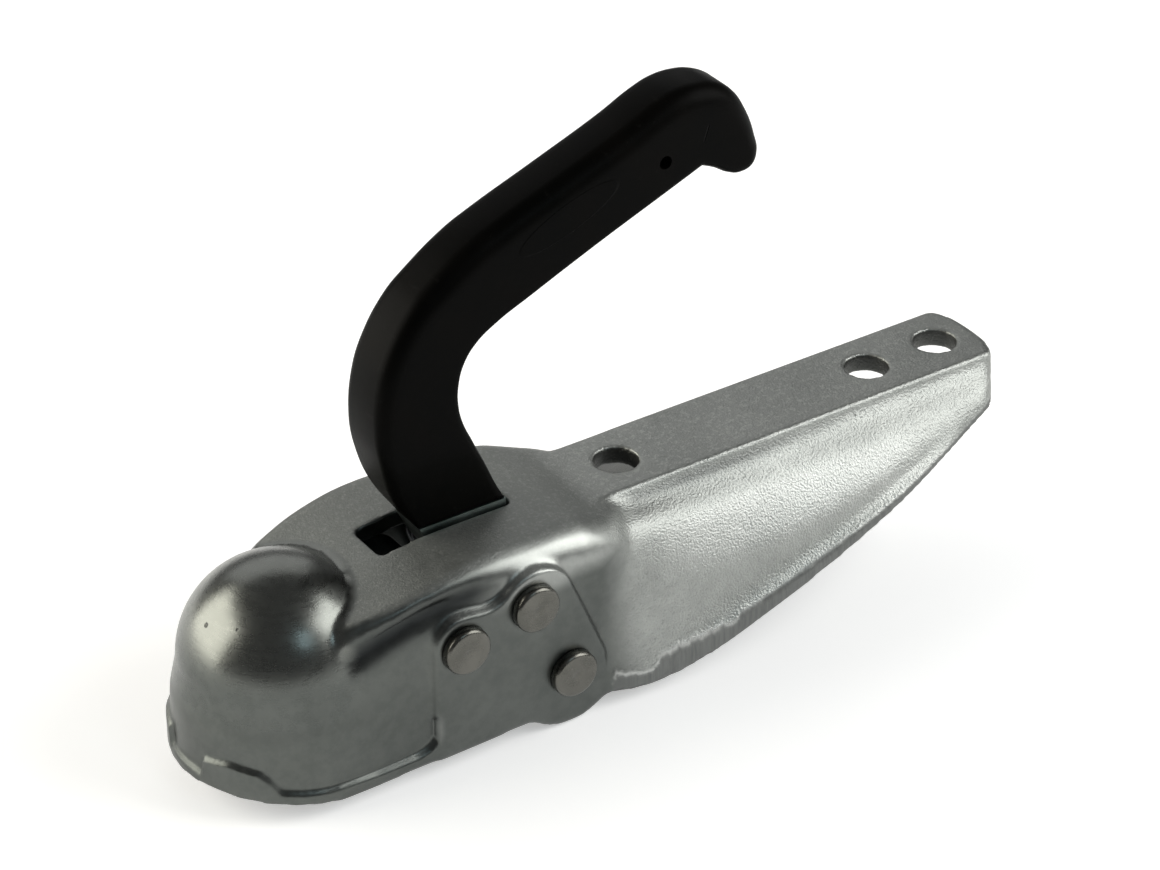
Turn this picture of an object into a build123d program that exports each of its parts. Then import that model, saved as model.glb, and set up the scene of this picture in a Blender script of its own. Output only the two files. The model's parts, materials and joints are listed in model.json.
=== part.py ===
from build123d import *
from math import cos, radians, sin
import os

os.makedirs("parts", exist_ok=True)

# Trailer coupling head for a tow ball. Millimetres, +Z up.
# The origin is the centre of the tow ball, and +X runs back along the tail.

# Ball, socket and dome
ball_d = 50.0
ball_gap = 0.3
dome_wall = 6.9
skirt_flare = 2.4
skirt_z = -11.0
socket_r = ball_d / 2 + ball_gap
dome_r = socket_r + dome_wall

# Head casting
head_half_w = 34.7
head_wall = 7.0
head_end_x = 115.0
chamber_front_x = 28.0
bulkhead_t = 7.0
throat_z = 3.0
throat_half_w = 25.0
crown_z = 29.2
hollow_h = 12.0
bottom_z = -35.0
front_lip_z = -30.2
boss_r = 20.2

# Rim band round the foot of the dome
rim_proud = 1.5
rim_top_z = -29.0
tab_top_z = -20.5
tab_from = 16.0
tab_to = 48.0
rim_end_x = 33.5

# Tail
tail_z = 24.4
plate_t = 6.8
tail_half_w = 16.5
tail_edge_r = 1.2
tail_step = 4.2
tail_end_x = 266.0
skirt_foot = 7.0
bolt_hole_d = 14.5
bolt_x = 124.0
bolt_pitch = 100.0
bolt_step = 28.5

# Slot for the lever
slot_front_x = 31.6
slot_rear_x = 79.4
slot_w = 16.0
slot_corner_r = 2.5

# Pins, riveted through both walls
pin_d = 12.0
pin_head_d = 15.8
pin_head_h = 3.5
pin_head_r = 1.2
dimple_d = 4.0
dimple_h = 0.4
jaw_pin_x = 42.6
jaw_pin_z = 6.0
lever_pin_x = 67.8
lever_pin_z = 11.6
spring_pin_x = 81.8
spring_pin_z = -18.4
pad_h = 2.7
pad_front_r = 11.0
pad_rear_r = 12.0
pad_low_r = 12.0
pin_fit = 0.05
part_gap = 0.3
bush_d = pin_d + 4
jaw_spacer_d = 16.0
lever_spacer_d = 15.0
sleeve_d = 16.0
bulkhead_x = spring_pin_x + sleeve_d / 2 + 1.2

# Lever: steel arm with its cam, and the moulded grip
arm_t = 14.4
hub_r = 12.0
cam_reach = 23.0
cam_angle = 240.0
cam_r = 5.0
cam_half_w = 15.0
arm_top_z = 31.0
arm_front_x = 46.2
arm_rear_x = 77.6
tang_t = 8.0
tang_top_z = 84.0
grip_t = 22.0
grip_foot_t = 14.4
grip_edge_r = 4.0
grip_hole_d = 4.4
grip_hole_x = 134.0
grip_hole_z = 133.0

# Ball jaw
jaw_half_w = 17.0
jaw_hub_r = 10.5
jaw_floor_z = -26.0

# Lever return spring, coiled round the lever pin
wire_d = 2.8
coil_r = 8.0
coil_pitch = 2.9
coil_turns = 3.653
coil_y = 11.2
coil_start = -33.2
cam_leg = 25.0
sleeve_leg = 35.0

inner_half_w = head_half_w - head_wall
pad_y = head_half_w + pad_h
pin_hole_d = pin_d + 2 * pin_fit
low_z = -60.0


def cross_plane(x):
    return Plane(origin=(x, 0, 0), x_dir=(0, 1, 0), z_dir=(1, 0, 0))


def side_plane(y):
    return Plane(origin=(0, y, 0), x_dir=(1, 0, 0), z_dir=(0, -1, 0))


# Cross section of the head: flat walls hollowed under rounded shoulders, and a crowned top
def head_section(x, half_w, top_z, shoulder_z, shoulder_r, inset, hollow):
    edge = Vector(half_w - inset, shoulder_z - shoulder_r)
    with BuildSketch(cross_plane(x)) as section:
        with BuildLine():
            wall = Line((half_w, low_z), (half_w, edge.Y - hollow_h))
            Spline(
                wall @ 1,
                (half_w - (inset + hollow) * 0.6, edge.Y - hollow_h * 0.5),
                edge - Vector(hollow, 2.2),
                edge,
                tangents=((0, 1), (0, 1)),
            )
            turn = RadiusArc(edge, (edge.X - shoulder_r, shoulder_z), -shoulder_r)
            Spline(turn @ 1, (0, top_z), tangents=(turn % 1, (-1, 0)))
            Line((0, low_z), wall @ 0)
            mirror(about=Plane.YZ)
        make_face()
    return section.sketch


# Head stations: place, half width, top, shoulder height and radius, inset of the shoulder, hollow under it
head_stations = [
    (0, dome_r - 0.8, 22.0, 19.0, 10.0, 3.0, 0.3),
    (14.5, head_half_w - 1.5, crown_z - 4.8, crown_z - 6.2, 4.4, 1.7, 1.3),
    (29, head_half_w - 0.2, crown_z - 2.0, crown_z - 3.0, 3.0, 1.3, 1.5),
    (43.5, head_half_w, crown_z - 0.2, crown_z - 0.5, 4.4, 1.1, 0.9),
    (58, head_half_w, crown_z + 0.4, crown_z + 0.3, 7.8, 0.6, 0.3),
    (72.5, head_half_w, crown_z + 0.2, crown_z, 10.2, 0.3, 0),
    (87, head_half_w - 0.1, crown_z - 0.6, crown_z - 0.8, 11.4, 0.3, 0),
]
neck_stations = [
    (87, head_half_w - 0.1, crown_z - 0.6, crown_z - 0.8, 11.4, 0.3, 0),
    (94, head_half_w - 0.3, crown_z - 2.0, crown_z - 2.2, 11.8, 0.3, 0),
    (101, head_half_w - 1.2, tail_z + 0.5, tail_z + 0.3, 12.6, 0.3, 0),
    (108, head_half_w - 3.4, tail_z - 0.6, tail_z - 0.8, 15.0, 0.3, 0),
    (head_end_x, tail_half_w + 7.0, tail_z - 4.0, tail_z - 4.2, 14.0, 0.3, 0),
]


# Cross section of the tail: a flat plate whose flanks stand out as hips near the head,
# sweep down behind it and flare at a cut edge
hip_shape = [(0.28, 0.02), (0.51, 0.11), (0.71, 0.38), (0.88, 0.78)]
flank_shape = [(0.14, 0.10), (0.52, 0.40), (0.78, 0.74), (0.87, 0.92)]


def tail_section(x, edge_y, edge_z, cut_h, hip):
    under_z = tail_z - plate_t
    top = Vector(tail_half_w, tail_z - tail_edge_r)
    foot = Vector(tail_half_w + 0.7, tail_z - tail_step)
    edge = Vector(edge_y, edge_z + cut_h)
    shares = [Vector(*a) * hip + Vector(*b) * (1 - hip) for a, b in zip(hip_shape, flank_shape)]
    flank = [foot + Vector((edge.X - foot.X) * p.X, (edge.Y - foot.Y) * p.Y) for p in shares]
    inner_foot = Vector(edge_y - skirt_foot, edge_z)
    inner_top = Vector(tail_half_w - 4, under_z)
    inner_mid = Vector(
        inner_top.X + (inner_foot.X - inner_top.X) * 0.72, inner_top.Y + (inner_foot.Y - inner_top.Y) * 0.5
    )
    with BuildSketch(cross_plane(x)) as section:
        with BuildLine():
            Line((0, tail_z), (tail_half_w - tail_edge_r, tail_z))
            RadiusArc((tail_half_w - tail_edge_r, tail_z), top, tail_edge_r)
            Spline(top, foot, *flank, edge, tangents=((0, -1), (1, -0.4)), tangent_scalars=(1, 0.3))
            Polyline(edge, (edge_y, edge_z), inner_foot)
            Spline(inner_foot, inner_mid, inner_top)
            Line(inner_top, (0, under_z))
            mirror(about=Plane.YZ)
        make_face()
    return section.sketch


# Stations along the tail: share of its length, half width, lower edge, height of the cut face, hip
tail_start_x = 80.0
tail_stations = [
    (0.00, 35.8, -34.2, 6.5, 0.95),
    (0.13, 39.2, -34.4, 7.0, 0.9),
    (0.21, 40.6, -33.9, 8.0, 0.68),
    (0.32, 41.7, -28.6, 7.4, 0.32),
    (0.45, 41.8, -20.2, 5.6, 0.08),
    (0.59, 40.0, -11.5, 4.6, 0),
    (0.72, 36.4, -3.6, 3.8, 0),
    (0.84, 31.0, 4.1, 3.2, 0),
    (0.93, 26.5, 9.7, 3.0, 0),
    (1.00, 22.0, 14.4, 3.0, 0),
]
tail_run = tail_end_x + 2 - tail_start_x

# Rounded end of the tail in plan
with BuildSketch(Plane.XY.offset(low_z)) as tail_plan:
    with BuildLine():
        end = Spline(
            (tail_end_x, 0),
            (tail_end_x - 2.4, tail_half_w),
            (tail_end_x - 9.5, tail_half_w + 9.5),
            (tail_end_x - 24, tail_half_w + 18),
            tangents=((0, 1), (-0.85, 0.4)),
        )
        Polyline(end @ 1, (end @ 1 + Vector(0, 30)), (tail_start_x, 60), (tail_start_x, 0))
        mirror(about=Plane.XZ)
    make_face()

with BuildPart() as tail:
    loft([tail_section(tail_start_x + tail_run * f, *station) for f, *station in tail_stations])
    extrude(tail_plan.sketch, amount=-2 * low_z, mode=Mode.INTERSECT)

# Lower edge of the head, with a rounded boss under the spring pin
with BuildSketch(side_plane(0)) as under_head:
    with BuildLine():
        Polyline(
            (-dome_r - 20, front_lip_z + 2.6),
            (0, bottom_z + 0.3),
            (spring_pin_x - boss_r, bottom_z + 1.8),
            (head_end_x + 10, bottom_z + 1.2),
            (head_end_x + 10, low_z),
            (-dome_r - 20, low_z),
            close=True,
        )
    make_face()
    with Locations((spring_pin_x, spring_pin_z)):
        Circle(boss_r, mode=Mode.SUBTRACT)
    fillet(under_head.vertices().filter_by_position(Axis.X, spring_pin_x - boss_r + 1, head_end_x), 5)

with BuildPart() as head:
    loft([head_section(*station) for station in head_stations])
    loft([head_section(*station) for station in neck_stations])
    with BuildSketch(Plane.XZ):
        with BuildLine():
            CenterArc((0, 0), dome_r, 0, 90)
            Polyline(
                (0, dome_r),
                (0, low_z),
                (dome_r + skirt_flare, low_z),
                (dome_r + skirt_flare, skirt_z),
                (dome_r, 0),
            )
        make_face()
    revolve(axis=Axis.Z)

# Chamber for the jaw and the lever, one wall thickness inside the head
roof_drop = head_wall * 0.9
chamber_stations = head_stations + [(101.5, head_half_w - 0.6, crown_z - 2.4, crown_z - 2.9, 6.5, 0.3, 0)]
with BuildPart() as chamber:
    loft(
        [
            head_section(x, w - head_wall, top - roof_drop, shoulder - roof_drop, r * 0.6, 0, 0)
            for x, w, top, shoulder, r, _, _ in chamber_stations
        ]
    )
    with Locations(((chamber_front_x + bulkhead_x) / 2, 0, 0)):
        Box(bulkhead_x - chamber_front_x, 80, 140, mode=Mode.INTERSECT)

# Raised pad that carries the three pins, with a lobe round each
with BuildSketch(side_plane(0)) as pad:
    with BuildLine():
        left = Line((rim_end_x - 1.2, low_z), (rim_end_x - 1.2, jaw_pin_z))
        over_jaw = ThreePointArc(
            left @ 1,
            (jaw_pin_x - pad_front_r * 0.64, jaw_pin_z + pad_front_r * 0.77),
            (jaw_pin_x + 1, jaw_pin_z + pad_front_r),
        )
        over_lever = ThreePointArc(
            (lever_pin_x - pad_rear_r * 0.7, lever_pin_z + pad_rear_r * 0.65),
            (lever_pin_x + 2.5, lever_pin_z + pad_rear_r),
            (lever_pin_x + pad_rear_r * 1.14, lever_pin_z + pad_rear_r * 0.42),
        )
        Spline(
            over_jaw @ 1,
            (jaw_pin_x + pad_front_r + 1.5, jaw_pin_z + pad_front_r - 0.4),
            over_lever @ 0,
            tangents=(over_jaw % 1, over_lever % 0),
        )
        Polyline(
            over_lever @ 1,
            (spring_pin_x + pad_low_r + 1.5, spring_pin_z + 2),
            (spring_pin_x + pad_low_r + 4, low_z),
            left @ 0,
        )
    make_face()

with BuildPart() as pads:
    with BuildSketch(side_plane(-inner_half_w)):
        add(pad.sketch)
    extrude(amount=pad_y - inner_half_w)
    fillet(pads.faces().sort_by(Axis.Y)[0].edges(), 1.6)
    mirror(about=Plane.XZ)

# Low band round the foot of the dome, with two taller tabs
rim_r = dome_r + skirt_flare + rim_proud
tab_mid = (tab_from + tab_to) / 2


def rim_point(angle):
    return Vector(-rim_r * cos(radians(angle)), rim_r * sin(radians(angle)))


with BuildPart() as rim:
    with BuildSketch(Plane.XY.offset(low_z)):
        with BuildLine():
            ThreePointArc((0, rim_r), (-rim_r, 0), (0, -rim_r))
            Polyline(
                (0, -rim_r),
                (rim_end_x, -pad_y + 0.6),
                (rim_end_x, pad_y - 0.6),
                (0, rim_r),
            )
        make_face()
    extrude(amount=rim_top_z - low_z)

with BuildPart() as tab:
    with BuildSketch(Plane.XY.offset(rim_top_z - 4)):
        with BuildLine():
            ThreePointArc(rim_point(tab_from), rim_point(tab_mid), rim_point(tab_to))
            Polyline(rim_point(tab_to), rim_point(tab_to) * 0.8, rim_point(tab_from) * 0.8, rim_point(tab_from))
        make_face()
    extrude(amount=tab_top_z - rim_top_z + 4)
    mirror(about=Plane.XZ)

# Front end of the drawbar channel, cut up to the bulkhead
channel_x = bulkhead_x + bulkhead_t
with BuildSketch(cross_plane(channel_x)) as channel:
    with BuildLine():
        Polyline(
            (0, tail_z - plate_t),
            (tail_half_w - 4, tail_z - plate_t),
            (tail_half_w + 5, 4),
            (tail_half_w + 10, -8.2),
            (tail_half_w + 15.2, low_z),
            (0, low_z),
        )
        mirror(about=Plane.YZ)
    make_face()

with BuildPart() as coupling_body:
    add(head.part)
    add(pads.part)
    add(rim.part)
    add(tab.part)
    extrude(under_head.sketch, amount=80, both=True, mode=Mode.SUBTRACT)
    add(tail.part)
    Sphere(socket_r, mode=Mode.SUBTRACT)
    with Locations((0, 0, low_z / 2)):
        Cylinder(socket_r + ball_gap, -low_z, mode=Mode.SUBTRACT)
    with Locations((chamber_front_x / 2 + 5, 0, (throat_z + low_z) / 2)):
        Box(chamber_front_x - 8, 2 * throat_half_w, throat_z - low_z, mode=Mode.SUBTRACT)
    add(chamber.part, mode=Mode.SUBTRACT)
    extrude(channel.sketch, amount=head_end_x + 2 - channel_x, mode=Mode.SUBTRACT)
    with BuildSketch(Plane.XY.offset(throat_z + 9)):
        with Locations(((slot_front_x + slot_rear_x) / 2, 0)):
            RectangleRounded(slot_rear_x - slot_front_x, slot_w, slot_corner_r)
    extrude(amount=40, mode=Mode.SUBTRACT)
    with BuildSketch(Plane.XY.offset(tail_z + 5)):
        with Locations((bolt_x, 0), (bolt_x + bolt_pitch, 0), (bolt_x + bolt_pitch + bolt_step, 0)):
            Circle(bolt_hole_d / 2)
    extrude(amount=-plate_t - 10, mode=Mode.SUBTRACT)
    with BuildSketch(side_plane(0)):
        with Locations((jaw_pin_x, jaw_pin_z), (lever_pin_x, lever_pin_z), (spring_pin_x, spring_pin_z)):
            Circle(pin_hole_d / 2)
    extrude(amount=60, both=True, mode=Mode.SUBTRACT)


# Pin with a riveted head outside each wall
def riveted_pin(x, z):
    with BuildPart() as pin:
        with BuildSketch(side_plane(0)):
            with Locations((x, z)):
                Circle(pin_d / 2)
        extrude(amount=pad_y)
        with BuildSketch(side_plane(-pad_y)):
            with Locations((x, z)):
                Circle(pin_head_d / 2)
        extrude(amount=pin_head_h)
        fillet(pin.edges().sort_by(Axis.Y)[0], pin_head_r)
        with BuildSketch(side_plane(-pad_y - pin_head_h)):
            with Locations((x, z)):
                Circle(dimple_d / 2)
        extrude(amount=-dimple_h, mode=Mode.SUBTRACT)
        mirror(about=Plane.XZ)
    return pin.part


# Tube on a pin between two places across the head
def tube(x, z, outer_d, inner_d, y_from, y_to):
    with BuildPart() as ring:
        with BuildSketch(side_plane(y_to)):
            with Locations((x, z)):
                Circle(outer_d / 2)
                Circle(inner_d / 2, mode=Mode.SUBTRACT)
        extrude(amount=y_to - y_from)
    return ring.part


jaw_pin = riveted_pin(jaw_pin_x, jaw_pin_z)
lever_pin = riveted_pin(lever_pin_x, lever_pin_z)
spring_pin = riveted_pin(spring_pin_x, spring_pin_z)

# Jaw: a hub on the front pin, a lip under the ball and a lug behind for the cam
with BuildPart() as ball_jaw:
    with BuildSketch(side_plane(jaw_half_w)):
        with BuildLine():
            Polyline(
                (jaw_pin_x - jaw_hub_r, jaw_pin_z),
                (24.0, -2.0),
                (18.5, -16.0),
                (19.5, -21.0),
                (22.5, jaw_floor_z),
                (36.0, jaw_floor_z),
                (50.0, -16.5),
                (53.0, -14.8),
                (49.3, -4.5),
                (jaw_pin_x + jaw_hub_r, jaw_pin_z),
                close=True,
            )
        make_face()
        with Locations((jaw_pin_x, jaw_pin_z)):
            Circle(jaw_hub_r)
            Circle(bush_d / 2, mode=Mode.SUBTRACT)
    extrude(amount=2 * jaw_half_w)
    Sphere(socket_r, mode=Mode.SUBTRACT)

jaw_bush = tube(jaw_pin_x, jaw_pin_z, bush_d, pin_hole_d, -jaw_half_w, jaw_half_w)
spacer_from = jaw_half_w + part_gap
spacer_to = inner_half_w - 2 * part_gap
with BuildPart() as jaw_spacers:
    add(tube(jaw_pin_x, jaw_pin_z, jaw_spacer_d, pin_hole_d, spacer_from, spacer_to))
    mirror(about=Plane.XZ)

# Lever arm: hub and cam nose below the slot, a stem in the slot and a tang inside the grip
nose_x = lever_pin_x + cam_reach * cos(radians(cam_angle))
nose_z = lever_pin_z + cam_reach * sin(radians(cam_angle))
tang_outline = [
    (53.0, arm_top_z - 6),
    (46.0, 52.0),
    (42.5, 70.0),
    (45.0, tang_top_z),
    (51.0, tang_top_z),
    (50.5, 70.0),
    (56.0, 52.0),
    (68.0, arm_top_z - 6),
]
with BuildPart() as lever_arm:
    with BuildSketch(side_plane(arm_t / 2)):
        with Locations((lever_pin_x, lever_pin_z)):
            Circle(hub_r)
        with Locations((nose_x, nose_z)):
            Circle(cam_r)
        make_hull()
        with BuildLine():
            Polyline(
                (arm_front_x, arm_top_z),
                (50.5, 22.0),
                (57.0, 12.0),
                (78.0, 12.0),
                (78.6, 20.0),
                (arm_rear_x, arm_top_z),
                close=True,
            )
        make_face()
    extrude(amount=arm_t)
    with BuildSketch(side_plane(cam_half_w)):
        with Locations((nose_x, nose_z)):
            Circle(cam_r)
    extrude(amount=2 * cam_half_w)
    with BuildSketch(side_plane(tang_t / 2)):
        with BuildLine():
            Polyline(*tang_outline, close=True)
        make_face()
    extrude(amount=tang_t)
    with BuildSketch(side_plane(0)):
        with Locations((lever_pin_x, lever_pin_z)):
            Circle(bush_d / 2)
    extrude(amount=arm_t, both=True, mode=Mode.SUBTRACT)

lever_bush = tube(lever_pin_x, lever_pin_z, bush_d, pin_hole_d, -arm_t / 2, arm_t / 2)
coil_end_y = coil_y + coil_pitch * coil_turns
spacer_in = arm_t / 2 + part_gap
spacer_out = inner_half_w - 1.7
with BuildPart() as lever_spacers:
    add(tube(lever_pin_x, lever_pin_z, lever_spacer_d, pin_hole_d, -spacer_out, -spacer_in))
    add(tube(lever_pin_x, lever_pin_z, lever_spacer_d, pin_hole_d, spacer_in, coil_y - wire_d / 2 - 0.2))
    add(tube(lever_pin_x, lever_pin_z, lever_spacer_d, pin_hole_d, coil_end_y + wire_d / 2 + 0.3, spacer_out))

spring_sleeve = tube(spring_pin_x, spring_pin_z, sleeve_d, pin_hole_d, -spacer_to, spacer_to)

# Torsion spring wound along +Z, then turned on to the lever pin
with BuildPart() as coil_spring:
    with BuildLine() as wire:
        coil = Helix(coil_pitch, coil_pitch * coil_turns, coil_r, lefthand=True)
        Line(coil @ 0 - (coil % 0) * cam_leg, coil @ 0)
        Line(coil @ 1, coil @ 1 + (coil % 1) * sleeve_leg)
    with BuildSketch(Plane(origin=coil @ 0 - (coil % 0) * cam_leg, z_dir=coil % 0)):
        Circle(wire_d / 2)
    sweep(path=wire.wire())

with BuildPart() as lever_spring:
    with Locations(
        Plane(
            origin=(lever_pin_x, coil_y, lever_pin_z),
            x_dir=(cos(radians(coil_start)), 0, sin(radians(coil_start))),
            z_dir=(0, 1, 0),
        )
    ):
        add(coil_spring.part)

# Moulded grip: rises from the slot, bends back and ends in a hooked tip
with BuildPart() as lever_grip:
    with BuildSketch(side_plane(grip_t / 2)) as grip_side:
        with BuildLine():
            rise = Spline(
                (arm_front_x, arm_top_z),
                (36.5, 46.6),
                (31.4, 70.0),
                (36.2, 96.4),
                (44.0, 108.6),
                (52.0, 115.6),
                (73.9, 128.2),
                tangents=((-0.5, 0.86), (0.935, 0.354)),
            )
            back = Line(rise @ 1, (121.8, 146.6))
            tip = Spline(
                back @ 1,
                (134.0, 151.8),
                (148.5, 154.2),
                (156.2, 152.0),
                (162.0, 147.4),
                (165.9, 140.5),
                (169.2, 130.9),
                (168.9, 120.4),
                (162.8, 117.9),
                (148.6, 125.2),
                tangents=(back % 1, (-0.85, 0.5)),
            )
            under = Line(tip @ 1, (86.3, 100.4))
            fall = Spline(
                under @ 1,
                (67.4, 90.8),
                (61.0, 75.0),
                (70.8, 46.9),
                (arm_rear_x, arm_top_z),
                tangents=(under % 1, (0.42, -0.91)),
            )
            Line(fall @ 1, rise @ 0)
        make_face()
        fillet(grip_side.vertices().sort_by_distance(tip @ 1)[0], 2.5)
    extrude(amount=grip_t)
    sides = lever_grip.faces().filter_by(Axis.Y)
    fillet(sides.edges().filter_by_position(Axis.Z, arm_top_z + 1, 200), grip_edge_r)
    with BuildSketch(Plane.YZ):
        with BuildLine():
            Polyline(
                (grip_foot_t / 2, 36),
                (grip_t / 2, 62),
                (grip_t, 62),
                (grip_t, arm_top_z - 1),
                (grip_foot_t / 2, arm_top_z - 1),
                close=True,
            )
        make_face()
        mirror(about=Plane.YZ)
    extrude(amount=200, both=True, mode=Mode.SUBTRACT)
    with BuildSketch(side_plane(0)):
        with BuildLine():
            Polyline(*tang_outline, close=True)
        make_face()
        offset(amount=pin_fit)
    extrude(amount=tang_t / 2 + pin_fit, both=True, mode=Mode.SUBTRACT)
    with BuildSketch(side_plane(0)):
        with Locations((grip_hole_x, grip_hole_z)):
            Circle(grip_hole_d / 2)
    extrude(amount=grip_t, both=True, mode=Mode.SUBTRACT)

pieces = {
    "coupling_body": coupling_body.part,
    "jaw_pin": jaw_pin,
    "lever_pin": lever_pin,
    "spring_pin": spring_pin,
    "ball_jaw": ball_jaw.part,
    "jaw_bush": jaw_bush,
    "jaw_spacers": jaw_spacers.part,
    "lever_arm": lever_arm.part,
    "lever_bush": lever_bush,
    "lever_spacers": lever_spacers.part,
    "spring_sleeve": spring_sleeve,
    "lever_spring": lever_spring.part,
    "lever_grip": lever_grip.part,
}
for node, piece in pieces.items():
    piece.label = node
    export_step(piece, f"parts/{node}.step")
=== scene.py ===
import bmesh
import bpy
import json
import math
import numpy as np
from mathutils import Matrix, Vector
from mathutils.geometry import delaunay_2d_cdt
from mathutils.kdtree import KDTree


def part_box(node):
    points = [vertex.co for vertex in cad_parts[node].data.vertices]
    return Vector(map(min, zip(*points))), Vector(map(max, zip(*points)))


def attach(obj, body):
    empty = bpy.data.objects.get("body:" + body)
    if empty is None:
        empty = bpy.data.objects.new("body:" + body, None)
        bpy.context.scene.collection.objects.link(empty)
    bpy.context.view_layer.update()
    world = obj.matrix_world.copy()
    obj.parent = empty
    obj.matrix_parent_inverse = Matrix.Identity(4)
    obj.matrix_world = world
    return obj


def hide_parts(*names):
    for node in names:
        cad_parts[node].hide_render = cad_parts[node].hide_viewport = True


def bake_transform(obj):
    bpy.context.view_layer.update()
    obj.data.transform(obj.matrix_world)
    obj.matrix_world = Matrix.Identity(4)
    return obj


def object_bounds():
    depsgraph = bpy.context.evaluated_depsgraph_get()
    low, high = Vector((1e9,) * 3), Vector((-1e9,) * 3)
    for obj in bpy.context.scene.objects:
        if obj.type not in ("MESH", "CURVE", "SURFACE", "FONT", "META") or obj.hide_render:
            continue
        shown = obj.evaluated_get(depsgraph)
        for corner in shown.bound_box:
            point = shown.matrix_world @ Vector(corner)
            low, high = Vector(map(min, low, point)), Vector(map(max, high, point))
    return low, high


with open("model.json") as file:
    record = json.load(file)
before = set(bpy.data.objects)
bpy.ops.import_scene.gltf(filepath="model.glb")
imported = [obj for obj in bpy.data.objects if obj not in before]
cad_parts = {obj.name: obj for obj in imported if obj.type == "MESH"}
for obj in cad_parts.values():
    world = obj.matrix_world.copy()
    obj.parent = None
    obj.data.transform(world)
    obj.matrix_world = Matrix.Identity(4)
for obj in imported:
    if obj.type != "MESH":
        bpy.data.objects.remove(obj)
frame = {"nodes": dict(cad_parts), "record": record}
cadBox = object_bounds()
nodes = frame["nodes"]
scene = bpy.context.scene
mm = 0.001
print("frame loaded:", len(nodes), "nodes")


# shader maths: a socket that can be added, multiplied and so on
class Wire:
    def __init__(self, tree, socket=None):
        self.tree = tree
        self.socket = socket

    def node(self, kind, settings=None, sockets=None, out=0):
        made = self.tree.nodes.new(kind)
        for key, value in (settings or {}).items():
            setattr(made, key, value)
        plug(self, made, sockets or {})
        return Wire(self.tree, made.outputs[out])

    def maths(self, operation, first, second=0.0):
        return self.node("ShaderNodeMath", {"operation": operation}, {0: first, 1: second})

    def __add__(self, other):
        return self.maths("ADD", self, other)

    def __sub__(self, other):
        return self.maths("SUBTRACT", self, other)

    def __rsub__(self, other):
        return self.maths("SUBTRACT", other, self)

    def __mul__(self, other):
        return self.maths("MULTIPLY", self, other)

    def __truediv__(self, other):
        return self.maths("DIVIDE", self, other)

    __radd__ = __add__
    __rmul__ = __mul__

    def most(self, other):
        return self.maths("MAXIMUM", self, other)

    def least(self, other):
        return self.maths("MINIMUM", self, other)

    # 0 below low, 1 above high, smooth between
    def rise(self, low, high):
        return self.node(
            "ShaderNodeMapRange",
            {"interpolation_type": "SMOOTHSTEP"},
            {0: self, 1: low, 2: high, 3: 0.0, 4: 1.0},
        )

    # 1 between the two slopes, 0 outside them
    def within(self, up, down):
        return self.rise(*up) * (1 - self.rise(*down))

    # colour a where this is 0, colour b where it is 1
    def tint(self, a, b):
        a, b = (c if isinstance(c, Wire) else (*c, 1) for c in (a, b))
        return self.node("ShaderNodeMix", {"data_type": "RGBA"}, {0: self, 6: a, 7: b}, 2)


def plug(root, node, sockets):
    for key, value in sockets.items():
        if isinstance(value, Wire):
            root.tree.links.new(value.socket, node.inputs[key])
        else:
            node.inputs[key].default_value = value


def startMaterial(name):
    material = bpy.data.materials.new(name)
    material.use_nodes = True
    tree = material.node_tree
    root = Wire(tree)
    place = root.node("ShaderNodeTexCoord", out="Object")
    return material, root, place, tree.nodes["Principled BSDF"]


def grain(root, place, scale, detail=3.0, rough=0.55, stretch=None):
    if stretch:
        place = root.node("ShaderNodeMapping", {}, {0: place, "Scale": stretch})
    sockets = {"Vector": place, "Scale": scale, "Detail": detail, "Roughness": rough}
    return root.node("ShaderNodeTexNoise", {}, sockets)


def relief(root, height, depth, strength):
    return root.node("ShaderNodeBump", {}, {"Height": height, "Distance": depth, "Strength": strength})


def spread(root, name):
    return root.node("ShaderNodeAttribute", {"attribute_name": name}, {}, "Fac")


def axisOf(root, place, axis):
    return root.node("ShaderNodeSeparateXYZ", {}, {0: place}, axis)


# zinc plate on the casting: satin on the dome, pebbled on the tail, streaked where it is sawn; painted
# shade darkens the head's walls, the recesses and the shoulder's hollow, and painted highlights lighten the
# shoulder, the flank, the outer edges and the lip
zinc = {
    "headShadedDark": (0.095, 0.102, 0.096), "headShadedPale": (0.13, 0.138, 0.13), "crown": (0.165, 0.172, 0.16),
    "tailDark": (0.30, 0.312, 0.298), "tailPale": (0.41, 0.422, 0.404), "plate": (0.24, 0.25, 0.237),
    "flank": (0.60, 0.61, 0.59), "sawn": (0.15, 0.155, 0.15), "recessShade": (0.045, 0.046, 0.042),
    "hollow": (0.022, 0.024, 0.025), "wearAndHighlight": (0.50, 0.51, 0.49), "lip": (0.62, 0.63, 0.61),
    "pebble": (0.15, 0.155, 0.145), "sand": (0.60, 0.61, 0.58), "pit": (0.03, 0.03, 0.028),
    # slopes between the regions, in metres
    "domeReach": (0.0335, 0.0352), "domeFoot": (-0.030, -0.022), "crownZ": (0.004, 0.016),
    "tailX": (0.094, 0.112), "shoulderX": (0.040, 0.075), "shoulderZ": (0.012, 0.019),
    "flankX": ((0.112, 0.135), (0.205, 0.235)), "flankZ": ((-0.008, 0.004), (0.011, 0.016)),
    # pits: centre and radius in mm
    "pits": [((-25.2, -0.5, 20.0), 0.9), ((-20.3, -10.9, 22.5), 0.6), ((205.8, -16.9, 20.4), 1.1)],
    "pitWobble": 0.6 * mm, "grainDeep": 0.6 * mm, "grainStrength": 0.7,
}


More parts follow.
